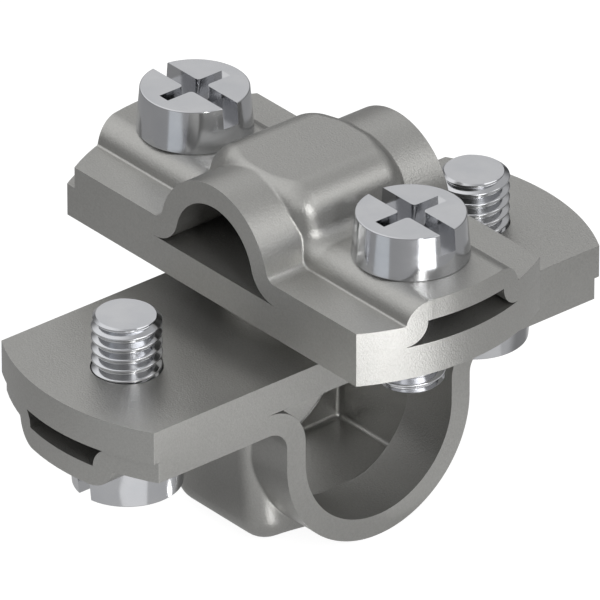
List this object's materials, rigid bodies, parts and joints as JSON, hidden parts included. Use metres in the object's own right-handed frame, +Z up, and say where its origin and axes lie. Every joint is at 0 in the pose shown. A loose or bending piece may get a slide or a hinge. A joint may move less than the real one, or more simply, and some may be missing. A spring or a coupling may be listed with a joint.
{
  "type": "rod clamp",
  "caption": "Cross clamp of pressed sheet covers screwed to riveted base plates, with a deep channel below for a rod and a shallow channel above for a round conductor.",
  "frame": {"origin": "on the swivel axis, at the surface that the lower cover stands on", "axes": "+X along the upper clamp, +Y along the lower clamp, +Z up"},
  "size_m": [0.043, 0.054, 0.033],
  "materials": {
    "galvanised_sheet": "matt grey hot-dip galvanised sheet with a fine even speckle",
    "bright_zinc": "bright smooth zinc plating on the turned screws"
  },
  "bodies": {
    "lower_cover": {"lower_cover": "galvanised_sheet"},
    "lower_screw_front": {"lower_screw_front": "bright_zinc"},
    "lower_screw_rear": {"lower_screw_rear": "bright_zinc"},
    "lower_base": {"lower_base_plate": "galvanised_sheet", "swivel_rivet": "galvanised_sheet", "spacer_ring": "galvanised_sheet"},
    "upper_base": {"upper_base_plate": "galvanised_sheet"},
    "upper_cover": {"upper_cover": "galvanised_sheet"},
    "upper_screw_left": {"upper_screw_left": "bright_zinc"},
    "upper_screw_right": {"upper_screw_right": "bright_zinc"}
  },
  "joints": [
    {"name": "lower_screw_front_turn", "type": "hinge", "parent": "lower_cover", "child": "lower_screw_front", "pos_m": [0, -0.019, 0.012], "axis": [0, 0, -1], "range_deg": [0, 1800]},
    {"name": "lower_screw_rear_turn", "type": "hinge", "parent": "lower_cover", "child": "lower_screw_rear", "pos_m": [0, 0.019, 0.012], "axis": [0, 0, -1], "range_deg": [0, 1800]},
    {"name": "lower_clamp_opening", "type": "slide", "parent": "lower_cover", "child": "lower_base", "axis": [0, 0, 1], "range_m": [0, 0.005]},
    {"name": "swivel", "type": "hinge", "parent": "lower_base", "child": "upper_base", "pos_m": [0, 0, 0.022], "axis": [0, 0, 1], "range_deg": [-20, 20]},
    {"name": "upper_clamp_opening", "type": "slide", "parent": "upper_base", "child": "upper_cover", "axis": [0, 0, 1], "range_m": [0, 0.005]},
    {"name": "upper_screw_left_turn", "type": "hinge", "parent": "upper_cover", "child": "upper_screw_left", "pos_m": [-0.014, 0, 0.029], "axis": [0, 0, 1], "range_deg": [0, 1800]},
    {"name": "upper_screw_right_turn", "type": "hinge", "parent": "upper_cover", "child": "upper_screw_right", "pos_m": [0.014, 0, 0.029], "axis": [0, 0, 1], "range_deg": [0, 1800]}
  ],
  "couplings": [
    {"joint": "lower_screw_front_turn", "follows": "lower_clamp_opening", "rad_per_m": 6283.2},
    {"joint": "lower_screw_rear_turn", "follows": "lower_clamp_opening", "rad_per_m": 6283.2},
    {"joint": "upper_screw_left_turn", "follows": "upper_clamp_opening", "rad_per_m": 6283.2},
    {"joint": "upper_screw_right_turn", "follows": "upper_clamp_opening", "rad_per_m": 6283.2}
  ]
}
